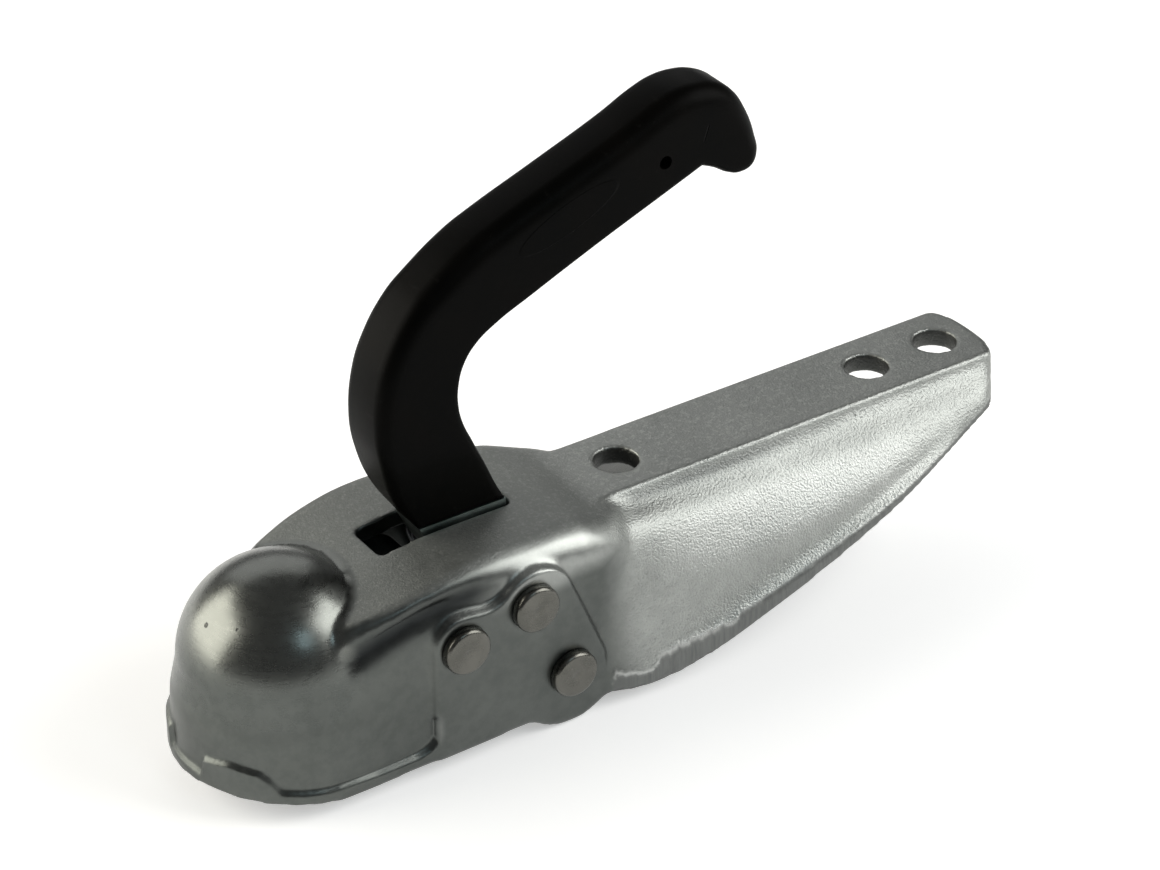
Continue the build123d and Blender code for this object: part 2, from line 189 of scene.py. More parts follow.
def zincCasting(name):
    material, root, place, shader = startMaterial(name)
    x, z = [axisOf(root, place, axis) for axis in "XZ"]
    reach = root.node("ShaderNodeVectorMath", {"operation": "LENGTH"}, {0: place}, "Value")
    dome = (1 - reach.rise(*zinc["domeReach"])) * z.rise(*zinc["domeFoot"])
    tail = x.rise(*zinc["tailX"])
    shoulder = x.rise(*zinc["shoulderX"]) * z.rise(*zinc["shoulderZ"])
    flank = x.within(*zinc["flankX"]) * z.within(*zinc["flankZ"])
    marks = ("top", "wearAndHighlight", "recessShade", "cut", "lip", "hollow")
    top, wearAndHighlight, recessShade, cut, lip, hollow = [spread(root, mark) for mark in marks]
    cloud = grain(root, place, 38, 4)
    mottle = grain(root, place, 260, 4, 0.6)
    pebble = grain(root, place, 1400, 1.5, 0.5)
    fine = grain(root, place, 2400, 2, 0.5)
    sand = grain(root, place, 720, 3, 0.7)
    streak = grain(root, place, 1.0, 3, 0.6, (1100, 1100, 60))
    brushed = grain(root, place, 1.0, 3, 0.6, (120, 120, 1500))
    headTop = top * (1 - dome) * (1 - tail)
    plateTop = top * tail
    pebbled = (tail * (1 - top * 0.25) + headTop * 0.7).least(1.0) * (1 - cut)
    shade = cloud.rise(0.3, 0.7) * 0.6 + mottle.rise(0.35, 0.65) * 0.4
    # plating, from the head to the tail, with painted shade on the head's walls and lower dome and painted
    # highlights on the shoulder and the flank
    # the head's zinc, darker than the crown's as painted shade on the walls and the lower dome
    head = shade.tint(zinc["headShadedDark"], zinc["headShadedPale"])
    head = (dome * z.rise(*zinc["crownZ"])).tint(head, zinc["crown"])
    head = (headTop * 0.8).tint(head, zinc["tailDark"])
    rear = shade.tint(zinc["tailDark"], zinc["tailPale"])
    # painted highlight: below its top, the head's shoulder takes the tail's paler zinc
    color = tail.most(shoulder * (1 - top) * 0.8).tint(head, rear)
    color = (plateTop * 0.5).tint(color, zinc["plate"])
    # painted highlight: a paler band along the middle of the flank
    color = (flank * 0.45).tint(color, zinc["flank"])
    # marks of sawing and handling, with painted shade in recesses and hollows and painted highlights on
    # outer edges and the lip
    color = (cut * (0.8 + streak.rise(0.35, 0.7) * 0.2)).tint(color, zinc["sawn"])
    # painted shade, near black, in inner bends, on the bolt holes' walls and in the channel
    color = (recessShade * 0.85).tint(color, zinc["recessShade"])
    # painted shade along the shoulder's hollow and under the plate's crest
    color = (hollow * 0.92).tint(color, zinc["hollow"])
    # wear on outer bends, made stronger on the head as a painted highlight along its edges
    color = (wearAndHighlight * (0.25 + (1 - tail) * 0.2)).tint(color, zinc["wearAndHighlight"])
    # painted highlight along the ridge of the sawn band's torn lip
    color = (lip * 0.7).tint(color, zinc["lip"])
    color = (pebble.rise(0.44, 0.30) * pebbled * 0.22).tint(color, zinc["pebble"])
    color = (sand.rise(0.48, 0.68) * (plateTop + headTop * 0.6) * 0.3).tint(color, zinc["sand"])
    pit = None
    for spot, wide in zinc["pits"]:
        sockets = {0: place, 1: [c * mm for c in spot]}
        away = root.node("ShaderNodeVectorMath", {"operation": "DISTANCE"}, sockets, "Value")
        mark = 1 - (away + (fine - 0.5) * zinc["pitWobble"]).rise(wide * 0.4 * mm, wide * mm)
        pit = mark if pit is None else pit.most(mark)
    color = (pit * 0.8).tint(color, zinc["pit"])
    rough = (
        0.36 + pebbled * 0.10 + headTop * 0.16 - dome * 0.08
        + (mottle - 0.5) * 0.16 + (brushed - 0.5) * dome * 0.10 + cut * 0.10
    )
    height = (
        (pebble - 0.5) * (pebbled * 0.55 + dome * 0.03)
        + (fine - 0.5) * (0.05 + pebbled * 0.10)
        + (mottle - 0.5) * 0.05
        + (streak - 0.5) * cut * 0.03
        + (brushed - 0.5) * dome * 0.05
        - pit * 0.5
    )
    plug(root, shader, {
        "Base Color": color,
        "Metallic": 1.0,
        "Roughness": rough,
        "Normal": relief(root, height, zinc["grainDeep"], zinc["grainStrength"]),
    })
    return material


def plainSteel(name, dark, pale, rough, ringed=False):
    material, root, place, shader = startMaterial(name)
    cloud = grain(root, place, 90, 4)
    fine = grain(root, place, 1500, 3)
    height = (fine - 0.5) * 0.15 + (cloud - 0.5) * 0.5
    if ringed:
        height = height + root.maths("SINE", spread(root, "ring") * 9000.0) * 0.05
    plug(root, shader, {
        "Base Color": cloud.rise(0.3, 0.7).tint(dark, pale),
        "Metallic": 1.0,
        "Roughness": rough + (cloud - 0.5) * 0.2 + (fine - 0.5) * 0.1,
        "Normal": relief(root, height, 0.3 * mm, 0.5),
    })
    return material


# satin black plastic, with a low bare oval on each side and a flow mark near the tip
moulding = {
    "dark": (0.0009, 0.001, 0.0008), "pale": (0.0022, 0.0019, 0.0015), "rubbed": (0.013, 0.0125, 0.0115),
    # x, z, angle, half length and half height, in mm and degrees
    "oval": (99, 125, 21, 19.5, 5.2), "flowMark": (149, 138.6, 72, 3.2, 0.35),
    "shine": 0.035, "grainDeep": 0.25 * mm, "grainStrength": 0.7,
}


def blackMoulding(name):
    material, root, place, shader = startMaterial(name)
    across, up = [axisOf(root, place, axis) for axis in "XZ"]

    def turned(x, z, angle):
        c, s = math.cos(math.radians(angle)), math.sin(math.radians(angle))
        along = (across - x * mm) * c + (up - z * mm) * s
        return along, (up - z * mm) * c - (across - x * mm) * s

    x, z, angle, long, high = moulding["oval"]
    along, beside = turned(x, z, angle)
    along, beside = along / (long * mm), beside / (high * mm)
    oval = 1 - (along * along + beside * beside).rise(0.86, 1.0)
    x, z, angle, long, high = moulding["flowMark"]
    along, beside = [root.maths("ABSOLUTE", away) for away in turned(x, z, angle)]
    mark = (1 - along.rise(long * 0.6 * mm, long * mm)) * (1 - beside.rise(0, high * mm))
    cloud = grain(root, place, 55, 4)
    spark = grain(root, place, 3200, 2)
    rub = grain(root, place, 1.0, 3, 0.6, (500, 90, 500))
    color = cloud.rise(0.3, 0.75).tint(moulding["dark"], moulding["pale"])
    height = (spark - 0.5) * 0.2 + (rub - 0.5) * 0.12 + oval * 0.9 - mark * 1.6
    plug(root, shader, {
        "Base Color": (rub.rise(0.62, 0.78) * 0.3).tint(color, moulding["rubbed"]),
        "Roughness": 0.42 + (cloud - 0.5) * 0.16 + (spark - 0.5) * 0.12 + oval * 0.05,
        "Specular IOR Level": moulding["shine"],
        "Normal": relief(root, height, moulding["grainDeep"], moulding["grainStrength"]),
    })
    return material


materials = {
    "casting": zincCasting("zinc_casting"),
    "pin_steel": plainSteel("pin_zinc", (0.105, 0.104, 0.093), (0.15, 0.147, 0.132), 0.28, True),
    "jaw_steel": plainSteel("jaw_casting", (0.20, 0.205, 0.20), (0.32, 0.325, 0.32), 0.45),
    "arm_steel": plainSteel("arm_zinc", (0.15, 0.185, 0.18), (0.26, 0.30, 0.29), 0.34),
    "spacer": plainSteel("turned_steel", (0.28, 0.285, 0.28), (0.40, 0.405, 0.40), 0.32),
    "bush": plainSteel("bearing_metal", (0.40, 0.28, 0.12), (0.55, 0.41, 0.20), 0.38),
    "spring_wire": plainSteel("spring_wire", (0.08, 0.082, 0.085), (0.16, 0.162, 0.165), 0.36),
    "grip": blackMoulding("black_moulding"),
}
slotOf = {part["node"]: part["material_slot"] for part in frame["record"]["subparts"]}
for name, node in nodes.items():
    node.data.materials.clear()
    node.data.materials.append(materials[slotOf[name]])
print("materials made:", len(materials))


def linked(name, data):
    thing = bpy.data.objects.new(name, data)
    scene.collection.objects.link(thing)
    return thing


def newPiece(name, mesh, body, slot, *stands):
    piece = linked(name, mesh)
    mesh.materials.clear()
    mesh.materials.append(materials[slot])
    if body:
        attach(piece, body)
    if stands:
        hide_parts(*stands)
    return piece


def evaluated(holder):
    graph = bpy.context.evaluated_depsgraph_get()
    mesh = bpy.data.meshes.new_from_object(holder.evaluated_get(graph))
    bpy.data.objects.remove(holder)
    return mesh


def mergedCopy(node):
    copy = bmesh.new()
    copy.from_mesh(node.data)
    bmesh.ops.remove_doubles(copy, verts=copy.verts, dist=0.005 * mm)
    return copy


def meshFrom(shape, name):
    mesh = bpy.data.meshes.new(name)
    shape.to_mesh(mesh)
    shape.free()
    return mesh


def smoothToEdges(mesh, angle=50):
    mesh.shade_smooth()
    mesh.set_sharp_from_angle(angle=math.radians(angle))


def readMesh(mesh):
    places = np.zeros(len(mesh.vertices) * 3)
    mesh.vertices.foreach_get("co", places)
    edges = np.zeros(len(mesh.edges) * 2, np.int32)
    mesh.edges.foreach_get("vertices", edges)
    return places.reshape(-1, 3), edges.reshape(-1, 2)


def meanOf(values, edges, count):
    total = np.zeros_like(values)
    for a, b in ((0, 1), (1, 0)):
        for column in range(values.shape[1]):
            total[:, column] += np.bincount(edges[:, a], values[edges[:, b], column], len(values))
    return total / count[:, None]


def vertexNormals(mesh, places):
    mesh.vertices.foreach_set("co", places.ravel())
    mesh.update()
    normals = np.zeros(places.size, np.float32)
    mesh.vertex_normals.foreach_get("vector", normals)
    return normals.reshape(-1, 3).astype(float)


def storeSpread(mesh, name, values):
    layer = mesh.attributes.new(name, "FLOAT", "POINT")
    layer.data.foreach_set("value", np.clip(values, 0, 1).astype(np.float32))


def ease(low, high, value):
    share = np.clip((value - low) / (high - low), 0, 1)
    return share * share * (3 - 2 * share)


# 1 between the two slopes, 0 outside them
def within(value, up, down):
    return ease(*up, value) * (1 - ease(*down, value))


def fromTable(value, rows):
    return np.interp(value, *np.array(rows).T * mm)


# casting: the CAD form with its inner corners filled like a sand casting
casting = {
    "voxel": 0.9 * mm, "insideKept": 0.22, "softRounds": 2, "fillStep": 0.5,
    "neckSoft": 6, "shoulderSoft": 20, "hipSoft": 45, "rimSoft": 2, "bendSoft": 5,
    "rounds": {
        "plain": 5, "pads": 4, "rim": 2, "neck": 34, "step": 36,
        "domeSide": 12, "domeTop": 6, "cut": 1,
    },
    # walls that face the middle or down, and those of the socket, count as inside
    "inward": -0.05, "downward": -0.4, "socketReach": 0.028,
    "slotHalf": 9.6 * mm, "slotX": (0.029, 0.082), "slotTop": 0.0275,
    "edgeAngle": 0.6, "edgeStep": 0.3 * mm, "edgeReach": 2.4 * mm, "edgeRounds": 7,
    "edgeTail": 0.1, "edgeLow": -0.026,
    "holeEdge": 8.5 * mm, "holeReach": 9.5 * mm,
    "endBulge": 1.6 * mm, "endHalf": 0.017, "endX": (0.2605, 0.2655),
    "footWall": 32.2 * mm, "footFlare": 2.4 * mm, "flareDeep": 0.011, "flareX": (0, 0.032),
    "valleyZ": (-0.004, 0.006), "dropZ": ((-0.0175, -0.0145), (-0.006, 0.0)),
    "skirt": 34.6 * mm, "rimRadius": 36.1 * mm, "rimSlope": 0.3 * mm, "rimReach": 1.2 * mm,
    "rimTop": (-0.0165, -0.0180), "rimFoot": -0.0335, "rimBack": 0.0335, "rimSkin": 0.0325,
    "flareBack": 0.034, "flareSkin": 0.0305,
    "tailX": (0.096, 0.099), "tailTop": 0.017, "tailStart": 0.094, "cellLong": 0.003, "cells": 71,
    "lipHigh": 0.35 * mm, "lipWide": 0.11, "lipBand": 1.06, "lipX": (0.16, 0.13), "raggedX": (0.16, 0.12),
    "neckX": ((0.089, 0.097), (0.124, 0.136)), "neckSide": (0.0135, 0.0175), "neckZ": (-0.031, -0.024),
    "padSide": 0.0338, "padX": (0.029, 0.099), "padTop": 0.0255,
    "domeX": ((0.004, 0.010), (0.034, 0.042)), "domeZ": (-0.027, -0.017), "domeTopZ": 0.019,
    "stepX": 0.106, "stepSide": (0.0155, 0.030), "stepZ": (0.006, 0.0225),
    "wallSide": 0.0285, "shoulderX": ((0.004, 0.012), (0.066, 0.080)), "shoulderZ": (0.006, 0.010),
    "hipX": (0.107, 0.114), "hipLow": (0.004, 0.010), "hipHigh": (0.0195, 0.0225), "hipSide": 0.0168,
    "wearAndHighlightFrom": 0.06, "recessShadeFrom": 0.04, "markGain": 8, "channelX": 0.092, "channelTop": 0.0195,
    "hollowX": ((0.003, 0.011), (0.046, 0.062)), "hollowHigh": 5 * mm,
    "grooveX": ((0.112, 0.120), (0.15, 0.21)), "grooveZ": 0.0205, "grooveHigh": 0.0015, "grooveSide": 0.021,
    # tables in mm: height of the rim's step round the foot, of the painted shade in the shoulder's hollow,
    # of the sawn band
    "rim": [
        (-57, -26), (-48.5, -26.5), (-47.4, -26.8), (-46.2, -20), (-36.5, -18.9), (-27, -20.3),
        (-23.6, -22.9), (-20.2, -27.3), (-14.5, -28.1), (-4.8, -29), (12, -29.6), (27, -29),
        (30.5, -28), (33.2, -25.6),
    ],
    "hollow": [
        (7, 10), (10, 12), (15, 14.2), (18.4, 15.6), (23.5, 17.2), (34, 19.8), (51, 21.6), (66, 23),
    ],
    "sawn": [
        (94, 6.5), (98, 7.4), (106, 6.2), (110.8, 5.6), (112.2, 7.4), (114.2, 9.4), (120.6, 10),
        (127.6, 9.4), (134.8, 8.6), (136.4, 9), (139.2, 7.4), (142, 7), (144.6, 8.6), (149, 7.8),
        (158, 7.4), (167, 7), (180, 6.2), (197.5, 4.8), (215, 3.8), (235, 3), (266, 2.4),
    ],
}


def remeshed(source, voxel):
    holder = linked("melt", meshFrom(mergedCopy(source), "melt"))
    melt = holder.modifiers.new("melt", "REMESH")
    melt.mode = "VOXEL"
    melt.voxel_size = voxel
    return evaluated(holder)


def facingIn(outward, normals):
    return (outward < casting["inward"]) | (normals[:, 2] < casting["downward"])


def inSocket(places):
    return np.linalg.norm(places, axis=1) < casting["socketReach"]


# the walls of the socket, chamber and channel need fewer faces than the skin
def thinned(mesh, kept):
    places, _ = readMesh(mesh)
    normals = vertexNormals(mesh, places)
    inside = facingIn(normals[:, 1] * np.sign(places[:, 1]), normals) | inSocket(places)
    share = np.mean([inside[list(f.vertices)].all() for f in mesh.polygons])
    holder = linked("thin", mesh)
    group = holder.vertex_groups.new(name="inside")
    group.add([int(k) for k in np.flatnonzero(inside)], 1.0, "REPLACE")
    thin = holder.modifiers.new("thin", "DECIMATE")
    thin.ratio = 1 - (1 - kept) * share
    thin.vertex_group = group.name
    thin.vertex_group_factor = 100
    return evaluated(holder)


boltAxes = [
    mount["pos_m"][0] + end * mount["dims"]["spacing_x_mm"] * mm / 2
    for mount in frame["record"]["mounts"] if mount["kind"] == "bolt_pattern"
    for end in (-1, 1)
]


def fromBolt(x, y):
    return np.min([np.hypot(x - at, y) for at in boltAxes], axis=0)


castMesh = remeshed(nodes["coupling_body"], casting["voxel"])
places, edges = readMesh(castMesh)
count = np.maximum(np.bincount(edges.ravel(), minlength=len(places)), 1)


def soften(weight, rounds):
    for _ in range(rounds):
        places[:] += (0.5 * weight)[:, None] * (meanOf(places, edges, count) - places)


soften(np.ones(len(places)), casting["softRounds"])
# places beside the sharp CAD edges of the tail and the rim are eased, so that they run straight
sharp = mergedCopy(nodes["coupling_body"])
samples = []
for edge in sharp.edges:
    a, b = (v.co for v in edge.verts)
    if not edge.is_manifold or edge.calc_face_angle_signed() <= casting["edgeAngle"]:
        continue
    eased = a.x > casting["edgeTail"] or a.z < casting["edgeLow"]
    if eased and fromBolt(a.x, a.y) > casting["holeEdge"]:
        steps = 2 + int((b - a).length / casting["edgeStep"])
        samples += [a.lerp(b, t) for t in np.linspace(0, 1, steps)]
sharp.free()
tree = KDTree(len(samples))
for k, point in enumerate(samples):
    tree.insert(point, k)
tree.balance()
beside = np.full(len(places), 1.0)
nearEdge = (places[:, 0] > casting["edgeTail"] - mm) | (places[:, 2] < casting["edgeLow"] + mm)
for k in np.flatnonzero(nearEdge):
    beside[k] = tree.find(places[k])[2]
beside = 1 - ease(0.5 * casting["edgeReach"], casting["edgeReach"], beside)
soften(beside, casting["edgeRounds"])
normals = vertexNormals(castMesh, places)
x, y, z = places.T.copy()
side = np.abs(y)
outward = normals[:, 1] * np.sign(y)
outer = outward > 0.1
nearHole = fromBolt(x, y) < casting["holeReach"]
holeWall = nearHole & (np.abs(normals[:, 2]) < 0.5)
slotFrom, slotTo = casting["slotX"]
inSlot = (side < casting["slotHalf"]) & (x > slotFrom) & (x < slotTo) & (z < casting["slotTop"])
inside = facingIn(outward, normals) | nearHole | inSlot | inSocket(places)
# the tail's end bulges a little
bulge = np.clip(1 - (y / casting["endHalf"]) ** 2, 0, 1)
places[:, 0] += casting["endBulge"] * bulge * ease(*casting["endX"], x)
# the valley between the foot of the dome and the wall is filled
slope = np.maximum(np.clip(-z / casting["flareDeep"], 0, 1), ease(*casting["flareX"], x))
wall = casting["footWall"] + casting["footFlare"] * slope
valley = (x > 0) & (x < casting["rimBack"]) & (side > casting["wallSide"]) & outer
fill = np.maximum(wall - side, 0) * valley * (1 - ease(*casting["valleyZ"], z))
places[:, 1] += fill * np.sign(y)
# the rim's step follows its own line round the foot of the dome
y = places[:, 1].copy()
side = np.abs(y)
around = x < 0
outBy = np.where(around, np.hypot(x, y), side)
alongRim = np.where(around, -casting["rimRadius"] * np.arctan2(-x, side), x)
rimEdge = fromTable(alongRim, casting["rim"])
skin = (outBy > casting["rimSkin"]) & (normals[:, 2] > casting["downward"])
onRim = ease(*casting["rimTop"], z) * (z > casting["rimFoot"]) * (x < casting["rimBack"]) * skin
rimStep = (casting["rimRadius"] - casting["skirt"]) * (1 + 0.5 * np.clip(x, 0, 1) / casting["rimBack"])
proud = rimStep * ease(rimEdge + casting["rimSlope"], rimEdge - casting["rimSlope"], z)
push = (casting["skirt"] + proud - outBy) * onRim
places[:, 0] += push * np.where(around, x / outBy, 0)
places[:, 1] += push * np.where(around, y / outBy, np.sign(y))
soften(onRim * (np.abs(z - rimEdge) < casting["rimReach"]), casting["rimSoft"])
# lower edge of the tail, read from the mesh, and the sawn band above it
cell = np.arange(casting["cells"])
inCell = ((x - casting["tailStart"]) / casting["cellLong"]).astype(int)
inCell = np.clip(inCell, 0, casting["cells"] - 1)
lowest = np.array([z[inCell == k].min() if np.any(inCell == k) else 0 for k in cell])
lowEdge = np.interp(x, casting["tailStart"] + casting["cellLong"] * (cell + 0.5), lowest)
band = (z - lowEdge) / fromTable(x, casting["sawn"])
ragged = 0.04 * np.sin(x * 1130) + 0.03 * np.sin(x * 2730 + 1)
onTail = ease(*casting["tailX"], x) * outer * (z < casting["tailTop"])
cut = (1 - ease(0.94, 1.06, band + ragged * ease(*casting["raggedX"], x) * 0.8)) * onTail
# the torn lip above the sawn band; it is raised below, and the material paints it paler as a painted
# highlight
lip = np.exp(-((band - casting["lipBand"] + ragged * 0.8) / casting["lipWide"]) ** 2)
lip = lip * onTail * (0.25 + 0.75 * ease(*casting["lipX"], x))
# how many rounds each place is filled
neck = within(x, *casting["neckX"]) * ease(*casting["neckSide"], side) * ease(*casting["neckZ"], z)
padFrom, padTo = casting["padX"]
pads = (side > casting["padSide"]) & (x > padFrom) & (x < padTo) & (z < casting["padTop"])
atDome = within(x, *casting["domeX"]) * ease(*casting["domeZ"], z)
stepIn, stepOut = casting["stepSide"]
stepLow, stepHigh = casting["stepZ"]
step = (x > casting["stepX"]) & (side > stepIn) & (side < stepOut) & (z > stepLow) & (z < stepHigh)
limits = casting["rounds"]
domeRounds = np.where(z < casting["domeTopZ"], limits["domeSide"], limits["domeTop"])
rounds = limits["plain"] + limits["neck"] * neck + atDome * domeRounds
rounds = np.where(step, limits["step"], rounds)
rounds = np.where(pads, limits["pads"], rounds)
rounds = np.where((z < casting["rimTop"][0]) & (x < casting["flareBack"]), limits["rim"], rounds)
rounds = np.where((band < 1.3) & (onTail > 0), limits["cut"], rounds)
rounds = np.where(inside, 0, rounds)
for turn in range(int(rounds.max()) + 1):
    if turn % 4 == 0:
        normals = vertexNormals(castMesh, places)
    pull = np.einsum("ij,ij->i", meanOf(places, edges, count) - places, normals)
    share = np.clip(rounds - turn, 0, 1) * casting["fillStep"]
    places += (np.maximum(pull, 0) * share)[:, None] * normals
# neck, shoulder and hip run into each other softly
plain = ~inside & ~pads
soften(neck * plain, casting["neckSoft"])
onWall = side > casting["wallSide"]
shoulder = within(x, *casting["shoulderX"]) * ease(*casting["shoulderZ"], z) * onWall
flare = (x < casting["flareBack"]) * within(z, *casting["dropZ"]) * (outBy > casting["flareSkin"])
soften(np.maximum(shoulder, flare) * plain, casting["shoulderSoft"])
hip = ease(*casting["hipX"], x) * ease(*casting["hipLow"], z) * (1 - ease(*casting["hipHigh"], z))
soften(hip * (side > casting["hipSide"]) * ~inside, casting["hipSoft"])
normals = vertexNormals(castMesh, places)
places += (lip * casting["lipHigh"] * (0.7 + 2 * ragged))[:, None] * normals
# wear with painted highlights on outer bends; painted shade in inner ones, on the bolt holes' walls and in
# the channel
normals = vertexNormals(castMesh, places)
bend = np.einsum("ij,ij->i", meanOf(places, edges, count) - places, normals)[:, None] / casting["voxel"]
for _ in range(casting["bendSoft"]):
    bend = 0.5 * bend + 0.5 * meanOf(bend, edges, count)
bend = bend[:, 0]
calm = np.where(((z < -0.0155) & (x < 0.05)) | (pads & (x > 0.06)), 0.4, 1)
channel = (x > casting["channelX"]) & facingIn(outward, normals) & (z < casting["channelTop"])
wearAndHighlight = (-bend - casting["wearAndHighlightFrom"]) * casting["markGain"] * ~nearHole * calm
recessShade = (bend - casting["recessShadeFrom"]) * casting["markGain"] * calm
# painted shade: a dark band along the shoulder's hollow, and a fainter one under the plate's crest on the
# tail
hollow = (z - fromTable(x, casting["hollow"])) / casting["hollowHigh"]
hollow = np.exp(-hollow ** 2) * within(x, *casting["hollowX"]) * onWall
crestShade = np.exp(-((z - casting["grooveZ"]) / casting["grooveHigh"]) ** 2)
crestShade = crestShade * within(x, *casting["grooveX"]) * (side < casting["grooveSide"])
storeSpread(castMesh, "wearAndHighlight", wearAndHighlight)
# painted shade: inner bends, with the bolt holes' walls and the channel's walls
storeSpread(castMesh, "recessShade", np.maximum(recessShade, np.maximum(holeWall, channel * 0.75)))
storeSpread(castMesh, "hollow", hollow + 0.5 * crestShade)
storeSpread(castMesh, "top", (normals[:, 2] - 0.75) * 5)
storeSpread(castMesh, "cut", cut)
storeSpread(castMesh, "lip", lip)
castMesh = thinned(castMesh, casting["insideKept"])
castMesh.shade_smooth()
newPiece("casting", castMesh, "coupling", "casting", "coupling_body")
print("casting:", sum(len(f.vertices) - 2 for f in castMesh.polygons), "triangles")

# grip: an outline with rounded edges, wide in front and tight behind, in mm
grip = {
    "front": [
        (46.2, 31), (36.5, 46.6), (33, 58.4), (31.4, 70), (32.9, 85.6), (36.5, 96), (44.7, 108.5),
        (52, 115), (66, 124.2), (74, 127.8), (98, 136.8), (122, 146), (134, 151.4), (141, 153.4),
        (148.5, 153.5), (156, 151.5), (162, 147.3), (166.3, 140.5), (169.6, 130.9), (170.3, 125.8),
        (168.2, 121.2), (163, 119.7), (158.5, 121.2), (153.3, 124.5), (148.4, 126.8),
    ],
    "rear": [
        (148.4, 126.8), (144.9, 125.4), (134.4, 121.3), (110, 111.8), (85.7, 101.7), (73.7, 96.5),
        (66.5, 91.9), (62.2, 86.4), (60.1, 79.5), (59.9, 72.5), (61.2, 66.1), (64.9, 57.5),
        (70.4, 46.7), (75.2, 36.3), (77.6, 31),
    ],
    "chainSteps": 6, "footSteps": 14,
    "halfTop": 11.0, "halfFoot": 7.2, "footZ": 36.0, "fullZ": 62.0,
    # share of the way along the edge, and the edge's round there
    "frontRound": ([0, 0.05, 0.3, 0.68, 0.84, 1], [1.2, 3.5, 6.5, 6.5, 3.6, 2.6]),
    "rearRound": ([0, 0.95, 1], [2.6, 2.6, 1.3]), "footRound": 1.2, "roundSteps": 7,
    "hole": (134.0, 133.0, 2.2), "holeSteps": 24,
    "grid": 3.0, "gridX": (32, 170), "gridZ": (32, 154), "gridClear": 1.5, "holeClear": 1,
}


def smoothChain(points, steps):
    curve = bpy.data.curves.new("chain", "CURVE")
    curve.dimensions = "3D"
    curve.resolution_u = steps
    line = curve.splines.new("BEZIER")
    line.bezier_points.add(len(points) - 1)
    for knot, (x, z) in zip(line.bezier_points, points):
        knot.co = (x, 0, z)
        knot.handle_left_type = knot.handle_right_type = "AUTO"
    mesh = evaluated(linked("chain", curve))
    return np.array([(v.co.x, v.co.z) for v in mesh.vertices])


def insidePolygon(points, ring):
    x, z = points[:, 0], points[:, 1]
    hit = np.zeros(len(points), bool)
    for (x0, z0), (x1, z1) in zip(ring, np.roll(ring, -1, axis=0)):
        if z0 != z1:
            hit ^= ((z0 > z) != (z1 > z)) & (x < (x1 - x0) * (z - z0) / (z1 - z0) + x0)
    return hit


def halfThick(z):
    return grip["halfFoot"] + (grip["halfTop"] - grip["halfFoot"]) * ease(grip["footZ"], grip["fullZ"], z)


def loopPairs(start, size):
    return [(start + k, start + (k + 1) % size) for k in range(size)]


front = smoothChain(grip["front"], grip["chainSteps"])
rear = smoothChain(grip["rear"], grip["chainSteps"])
foot = np.linspace(rear[-1], front[0], grip["footSteps"])[1:-1]
outline = np.vstack([front, rear[1:], foot])
heading = np.roll(outline, -1, axis=0) - np.roll(outline, 1, axis=0)
heading /= np.linalg.norm(heading, axis=1)[:, None]
inward = np.stack([heading[:, 1], -heading[:, 0]], axis=1)
rounds = np.concatenate([
    np.interp(np.linspace(0, 1, len(front)), *grip["frontRound"]),
    np.interp(np.linspace(0, 1, len(rear) - 1), *grip["rearRound"]),
    np.full(len(foot), grip["footRound"]),
])
# edges: rings from the outline to the flat of each side, then the band between the sides
gripVerts, gripFaces = [], []
size = len(outline)
perSide = size * (grip["roundSteps"] + 1)
for side in (-1, 1):
    for step in range(grip["roundSteps"] + 1):
        angle = math.pi / 2 * step / grip["roundSteps"]
        ring = outline + inward * (rounds * (1 - math.cos(angle)))[:, None]
        thick = halfThick(ring[:, 1]) - rounds * (1 - math.sin(angle))
        gripVerts += [(x, side * t, z) for (x, z), t in zip(ring, thick)]
for start in (0, perSide):
    for step in range(grip["roundSteps"]):
        pairs = loopPairs(start + step * size, size)
        gripFaces += [(a, b, b + size, a + size) for a, b in pairs]
gripFaces += [(a, b, perSide + b, perSide + a) for a, b in loopPairs(0, size)]
# flats of the two sides, with the hole through them
ring = outline + inward * rounds[:, None]
holeX, holeZ, holeR = grip["hole"]
holeSteps = grip["holeSteps"]
turns = np.linspace(0, 2 * math.pi, holeSteps, endpoint=False)
holeRing = np.array([(holeX + holeR * math.cos(t), holeZ + holeR * math.sin(t)) for t in turns])
gridX, gridZ = np.meshgrid(np.arange(*grip["gridX"], grip["grid"]), np.arange(*grip["gridZ"], grip["grid"]))
grid = np.stack([gridX.ravel(), gridZ.ravel()], axis=1)
grid = grid[insidePolygon(grid, ring)]
toRing = np.linalg.norm(grid[:, None] - ring[None], axis=2)
grid = grid[np.min(toRing, axis=1) > grip["gridClear"]]
grid = grid[np.hypot(grid[:, 0] - holeX, grid[:, 1] - holeZ) > holeR + grip["holeClear"]]
flat = [Vector(p) for p in np.vstack([ring, holeRing, grid])]
loops = loopPairs(0, size) + loopPairs(size, holeSteps)
points, _, faces, _, _, _ = delaunay_2d_cdt(flat, loops, [], 1, 1e-4)


def overHole(face):
    middle = sum((points[k] for k in face), Vector((0, 0))) / 3
    return math.hypot(middle.x - holeX, middle.y - holeZ) <= holeR * 0.98


